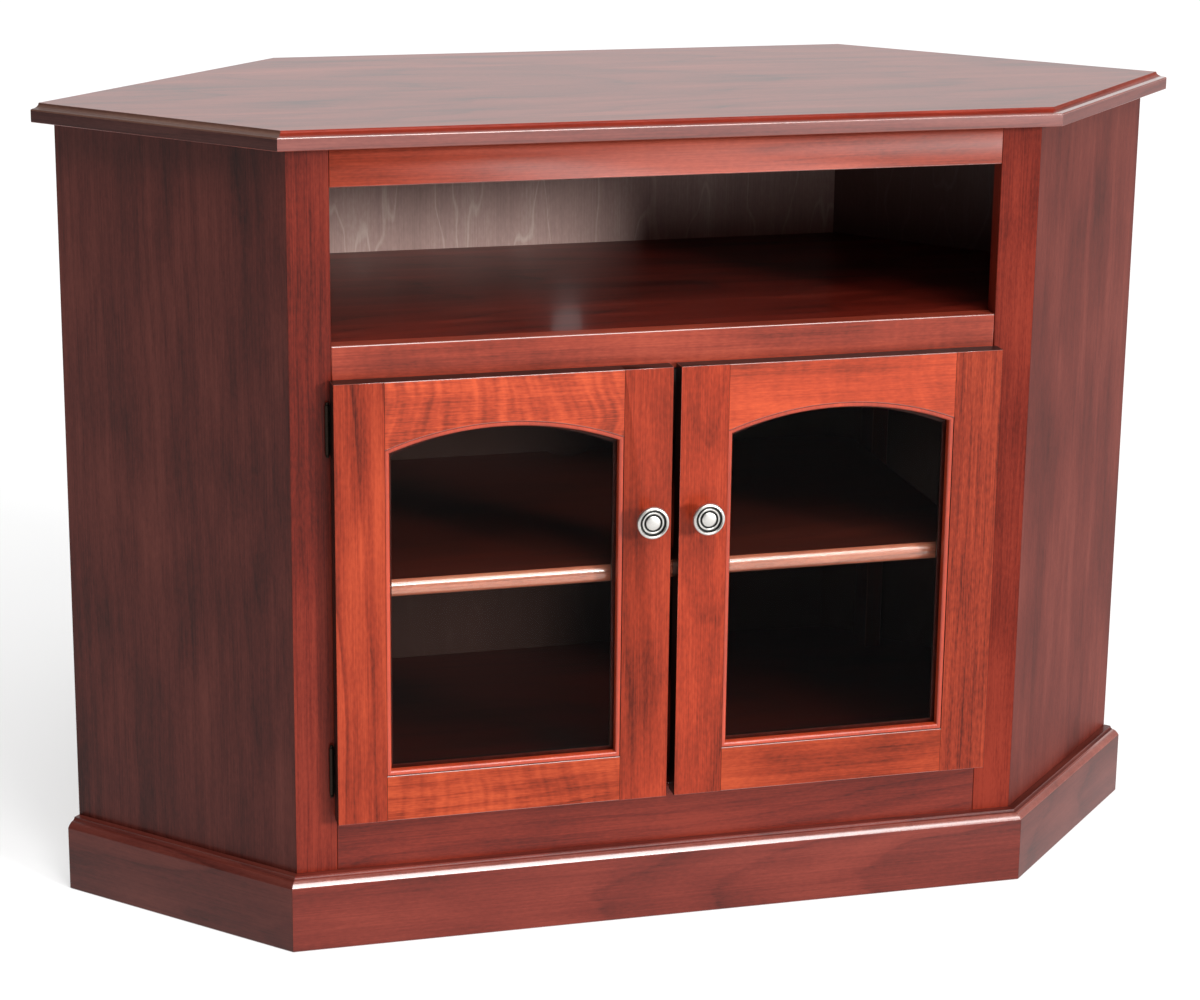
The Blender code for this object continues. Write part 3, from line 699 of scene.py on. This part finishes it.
def studio_light(name, azimuth, elevation, strength, spread):
    """Broad distant light; azimuth is from straight ahead of the doors towards +X."""
    data = bpy.data.lights.new(name, "SUN")
    data.energy = strength
    data.angle = math.radians(spread)
    a, e = math.radians(azimuth), math.radians(elevation)
    way = Vector((math.sin(a) * math.cos(e), -math.cos(a) * math.cos(e), math.sin(e)))
    obj = bpy.data.objects.new(name, data)
    obj.location = way * 5
    obj.rotation_mode = "QUATERNION"
    obj.rotation_quaternion = way.to_track_quat("Z", "Y")
    bpy.context.collection.objects.link(obj)


def world():
    """White backdrop; its light is strongest behind the cabinet and dim in front of it."""
    surround = bpy.data.worlds.new("studio")
    surround.use_nodes = True
    g = Graph(surround.node_tree)
    backdrop = surround.node_tree.nodes["Background"]
    way = g.add("ShaderNodeTexCoord").outputs["Generated"]
    toward = Vector((0.10, 0.98, 0.10)).normalized()
    facing = g.math("MULTIPLY_ADD", g.vector("DOT_PRODUCT", way, tuple(toward)), 0.5, 0.5)
    level = g.ramp(facing, ((0.20, 0.07), (0.60, 0.15), (0.80, 0.24), (0.94, 1.0)))
    seen = g.add("ShaderNodeLightPath").outputs["Is Camera Ray"]
    g.feed(backdrop.inputs["Color"], g.mix(seen, level, (1.0, 1.0, 1.0, 1.0)))
    backdrop.inputs["Strength"].default_value = 1.0
    bpy.context.scene.world = surround


def floor():
    """Plain pale floor that glows enough to look white and still takes a soft shadow."""
    bm = bmesh.new()
    bmesh.ops.create_grid(bm, x_segments=1, y_segments=1, size=40)
    obj = mesh_object("studio_floor", bm)
    obj.location.z = -0.0002
    mat, _, shader = new_material("studio_floor")
    shader.inputs["Base Color"].default_value = (0.45, 0.45, 0.45, 1)
    shader.inputs["Emission Color"].default_value = (1.0, 1.0, 1.0, 1)
    shader.inputs["Emission Strength"].default_value = 0.55
    shader.inputs["Roughness"].default_value = 0.9
    shader.inputs["Specular IOR Level"].default_value = 0.0
    obj.data.materials.append(mat)


def camera():
    """View from the left and above, aimed with a small downward shift of the frame."""
    data = bpy.data.cameras.new("camera")
    data.lens = 86.01
    data.sensor_width = 36.0
    data.shift_y = -0.10
    data.clip_end = 100
    obj = bpy.data.objects.new("camera", data)
    heading, down, lean = 14.61, 14.44, 0.65
    turn = Matrix.Rotation(math.radians(-heading), 4, "Z")
    tilt = Matrix.Rotation(math.radians(90 - down), 4, "X")
    roll = Matrix.Rotation(math.radians(lean), 4, "Z")
    place = Matrix.Translation((-0.770, FRONT_Y - 2.669, 1.286))
    obj.matrix_world = place @ turn @ tilt @ roll
    bpy.context.collection.objects.link(obj)
    bpy.context.scene.camera = obj


# ---------------------------------------------------------------- finishes

DOOR = (0.262, 0.0275, 0.0095)
ORANGE = (0.335, 0.0385, 0.0118)
RAIL = (0.30, 0.041, 0.0205)
STILE = (0.124, 0.0118, 0.0056)
DEEP = (0.125, 0.017, 0.010)
TOP_RAIL = (0.29, 0.041, 0.019)
TOP = (0.175, 0.028, 0.016)
# Side boards and the sides of the base: a darker wood with painted shade added, the left side
# darkest
SIDE_WOOD_WITH_PAINTED_SHADE = (0.085, 0.0145, 0.0100)
INSIDE = (0.080, 0.0085, 0.0050)
BAY_FLOOR = (0.098, 0.0080, 0.0040)
SHELF = (0.090, 0.0110, 0.0056)
# Shelf nose: far lighter than the shelf board, painted light where the lamp falls on it
NOSE_PAINTED_LIGHT = (0.95, 0.26, 0.15)
BEAD = (0.36, 0.036, 0.011)
# Door edges: near black, painted shade of the gaps round the doors
DOOR_EDGE_PAINTED_SHADE = (0.009, 0.003, 0.0022)
PLY = (0.46, 0.31, 0.275)
# Right rear panel inside the bay: painted shade
BAY_RIGHT_PANEL_PAINTED_SHADE = (0.10, 0.050, 0.043)
# Back boards inside the cupboard behind the doors: painted shade
CUPBOARD_PLY_PAINTED_SHADE = (0.062, 0.026, 0.021)
# Eased edges and moulded lips: a glossier wood whose lighter colour is a painted highlight
ARRIS_PAINTED_HIGHLIGHT = wood("arris_painted_highlight", UPRIGHT, (0.22, 0.058, 0.043), seed=33, rings=0.0,
             roughness=0.28, specular=0.9, coat=1.0, coat_ior=1.7)

PLY_LOOK = {"rings": 0.1, "ring": 0.03, "spread": 0.4, "streaks": 0.4, "lines": 0.35,
            "blotch": 0.2, "fibres": 0.4}

# Grain, colour and the rest of the look of each board
BOARDS = {
    "frame_stile_left": (UPRIGHT, STILE, {
        "blotch": 1.4, "specular": 0.2, "rings": 0.5, "streaks": 0.2, "fibres": 0.9}),
    "frame_stile_right": (UPRIGHT, toned(STILE, 1.1), {
        "blotch": 1.2, "specular": 0.12, "rings": 0.2, "streaks": 0.2, "fibres": 0.9}),
    "frame_rail_top": (LEVEL, TOP_RAIL, {"blotch": 0.9, "rings": 0.2, "specular": 0.4}),
    "frame_rail_middle": (LEVEL, toned(RAIL, 0.80), {"blotch": 1.1, "rings": 0.3, "curl": 0.15}),
    "frame_rail_bottom": (LEVEL, STILE, {"blotch": 1.2, "streaks": 0.4, "fibres": 0.8}),
    "side_panel_left": (LEFT_UPRIGHT, toned(SIDE_WOOD_WITH_PAINTED_SHADE, 0.73), {
        "rings": 0.3, "streaks": 0.7, "blotch": 1.0, "spread": 0.7, "specular": 0.17}),
    "side_panel_right": (RIGHT_UPRIGHT, toned(SIDE_WOOD_WITH_PAINTED_SHADE, 1.15), {
        "rings": 0.15, "streaks": 0.7, "blotch": 0.9, "specular": 0.06, "roughness": 0.42}),
    "cabinet_floor": (FLAT, INSIDE, {}),
    "bay_floor": (FLAT, BAY_FLOOR, {
        "coat": 0.24, "roughness": 0.36, "streaks": 1.2, "specular": 0.1, "spread": 0.8}),
    "rear_post_left": (UPRIGHT, DEEP, {}),
    "rear_post_right": (UPRIGHT, DEEP, {}),
    "rear_base_rail": (LEVEL, DEEP, {}),
    "shelf_batten_left": (UPRIGHT, INSIDE, {}),
    "shelf_batten_right": (UPRIGHT, INSIDE, {}),
    "back_panel": (UPRIGHT, PLY, PLY_LOOK),
    "rear_panel_left": (LEFT_UPRIGHT, PLY, PLY_LOOK),
    "rear_panel_right": (RIGHT_UPRIGHT, PLY, PLY_LOOK),
    "left_door_hinge_stile": (UPRIGHT, toned(DOOR, 0.85), {
        "rings": 0.9, "ring": 0.03, "tilt": 0.12, "streaks": 1.1, "pith": (0.01, -0.05),
        "spread": 0.75, "blotch": 0.8, "specular": 0.2}),
    "left_door_meeting_stile": (UPRIGHT, DOOR, {
        "rings": 0.2, "streaks": 0.8, "spread": 0.7, "blotch": 0.9, "specular": 0.2}),
    "left_door_top_rail": (LEVEL, ORANGE, {"curl": 0.85, "rings": 0.15, "fibres": 0.9}),
    "left_door_bottom_rail": (LEVEL, toned(ORANGE, 0.74), {
        "rings": 0.5, "blotch": 1.5, "curl": 0.4, "spread": 0.75, "specular": 0.2}),
    "right_door_hinge_stile": (UPRIGHT, toned(DOOR, 0.74), {
        "fibres": 1.0, "streaks": 0.8, "spread": 0.7, "specular": 0.2}),
    "right_door_meeting_stile": (UPRIGHT, toned(DOOR, 1.1), {
        "rings": 0.3, "spread": 0.7, "blotch": 0.9, "specular": 0.2}),
    "right_door_top_rail": (LEVEL, toned(ORANGE, 1.12), {"curl": 0.2, "rings": 0.15}),
    "right_door_bottom_rail": (LEVEL, toned(ORANGE, 0.72), {
        "blotch": 1.0, "rings": 0.2, "spread": 0.7, "specular": 0.2}),
    "left_door_glass_stop": (UPRIGHT, INSIDE, {}),
    "right_door_glass_stop": (UPRIGHT, INSIDE, {}),
}

# Base moulding by side: the left and right sides darker than the front, painted shade
BASE_COLOURS_WITH_PAINTED_SIDE_SHADE = {"front": (0.122, 0.0150, 0.0088), "left": toned(SIDE_WOOD_WITH_PAINTED_SHADE, 0.8),
                "right": toned(SIDE_WOOD_WITH_PAINTED_SHADE, 0.9)}

MOULDING_GRAINS = {"front": LEVEL, "left": LEFT_LEVEL, "right": RIGHT_LEVEL}

# Colour and specular level of each edge face of the top, by side: painted light and shade, darkest
# on the left
TOP_EDGES_PAINTED_LIGHT_AND_SHADE = {"front": ((0.15, 0.030, 0.022), 0.9), "front_hollow": ((0.20, 0.019, 0.009), 0.1),
             "left": ((0.040, 0.0105, 0.0085), 0.2), "left_hollow": ((0.082, 0.036, 0.026), 0.2),
             "right": ((0.10, 0.018, 0.013), 0.4), "right_hollow": ((0.16, 0.024, 0.014), 0.2)}


def is_door_edge(face):
    """An edge of a door board that looks sideways or up, which takes painted shade."""
    return abs(face.normal.x) > 0.8 or face.normal.z > 0.9


def is_inside_cupboard(face):
    """The front of a back board, in the compartment behind the doors, which takes painted shade."""
    return face.normal.y < -0.6 and face.center.z < BAY_FLOOR_Z


def is_inside_bay(face):
    """The front of a back board, in the open bay; on the right rear panel it takes painted shade.
    """
    return face.normal.y < -0.6 and face.center.z > BAY_FLOOR_Z


def dress_boards():
    """Eases every board and gives it its own wood; some faces get a second look: painted shade on
    the door edges, inside the cupboard and on the right rear panel in the bay.
    """
    painted_shade_bay_ply = wood("bay_ply_painted_shade", RIGHT_UPRIGHT, BAY_RIGHT_PANEL_PAINTED_SHADE, seed=92, **PLY_LOOK)
    painted_shade_door_edge = wood("door_edge_painted_shade", ALONG_EDGE, DOOR_EDGE_PAINTED_SHADE, seed=90, rings=0.2)
    painted_shade_cupboard_ply = wood("painted_shade_cupboard_ply", UPRIGHT, CUPBOARD_PLY_PAINTED_SHADE, seed=91, **PLY_LOOK)
    for index, (node, (grain, colour, extra)) in enumerate(BOARDS.items()):
        others = []
        # Door edges that look sideways or up take painted shade
        if "_door_" in node:
            others.append((is_door_edge, painted_shade_door_edge))
        # Back boards inside the cupboard take painted shade
        if node in SPLIT_BOARDS:
            others.append((is_inside_cupboard, painted_shade_cupboard_ply))
        # The right rear panel's face in the bay takes painted shade
        if node == "rear_panel_right":
            others.append((is_inside_bay, painted_shade_bay_ply))
        material = wood(node + "_wood", grain, colour, seed=index + 1, **extra)
        eased_board(node, material, others=others)


def dress_mouldings():
    """Rebuilds the top and the three boards of the base."""
    top_wood = wood("top_wood", FLAT, TOP, seed=41, streaks=1.1, blotch=0.4, spread=0.65,
                    specular=0.5, coat=0.2)
    edges = {}
    # Edge woods of the top, painted lighter or darker by side
    for index, (word, (colour, specular)) in enumerate(TOP_EDGES_PAINTED_LIGHT_AND_SHADE.items()):
        grain = MOULDING_GRAINS[word.split("_")[0]]
        edges[word] = wood("top_%s_wood" % word, grain, colour, seed=42 + index,
                           specular=specular)
    arris_range = (LIP - 0.0014, LIP + 0.0006)
    moulding("top_panel", "top_board", top_profile(), top_wood, arris_range, edges)
    bevel_range = (CAP_START, CAP_END + 0.0002)
    # Each side of the base takes its own colour, the sides with painted shade
    for index, (side, grain) in enumerate(MOULDING_GRAINS.items()):
        base_wood = wood("base_%s_wood" % side, grain, BASE_COLOURS_WITH_PAINTED_SIDE_SHADE[side], seed=51 + index,
                         rings=0.7, blotch=0.8)
        moulding("base_" + side, "base_%s_board" % side, base_profile(), base_wood,
                 bevel_range)


def dress_doors():
    """Gives each door its sticking and its pane."""
    glass = clear_glass()
    for seed, word in enumerate(("left", "right"), 64):
        door_bead(word, wood(word + "_bead_wood", UPRIGHT, BEAD, seed=seed, rings=0.0,
                             specular=0.5, coat=0.35, roughness=0.3))
        paint(word + "_door_glass", glass)


def dress_metal():
    """Metal and plastic; the catch, hinges, pins and strikes keep their CAD meshes."""
    nickel = metal("satin_nickel", (0.66, 0.64, 0.61), 0.40)
    steel = metal("zinc_steel", (0.55, 0.55, 0.54), 0.40)
    bronze = metal("dark_bronze", (0.032, 0.023, 0.018), 0.5)
    black = plastic("black_plastic", (0.02, 0.02, 0.02), 0.55)
    looks = {("_front_left", "_front_right", "_rear_left", "_rear_right"): nickel,
             ("_leaf", "_hinge_pin"): bronze, ("_screw", "_strike"): steel,
             ("door_catch",): black}
    for name in frame["nodes"]:
        for endings, look in looks.items():
            if name.endswith(endings):
                paint(name, look)
    patina = metal("nickel_patina", (0.06, 0.06, 0.058), 0.5)
    for word in ("left", "right"):
        knob(word, nickel, patina)
    grommets(black)
    for leaf in [n for n in frame["nodes"] if n.endswith("_leaf")]:
        leaf_screws(leaf, steel)


bpy.context.scene.view_settings.view_transform = "Standard"
camera()
world()
floor()
studio_light("key", azimuth=36, elevation=13, strength=3.2, spread=12)
studio_light("overhead", azimuth=10, elevation=60, strength=2.2, spread=38)
studio_light("strip", azimuth=15, elevation=38, strength=0.7, spread=14)
dress_boards()
dress_mouldings()
# The shelf board, and its nose in a lighter wood that is painted light
shelf(wood("shelf_wood", FLAT, SHELF, seed=71, roughness=0.3),
      wood("shelf_nose_painted_light", LEVEL, NOSE_PAINTED_LIGHT, seed=72, specular=1.0, coat=1.0,
           coat_ior=2.3, roughness=0.3))
dress_doors()
dress_metal()
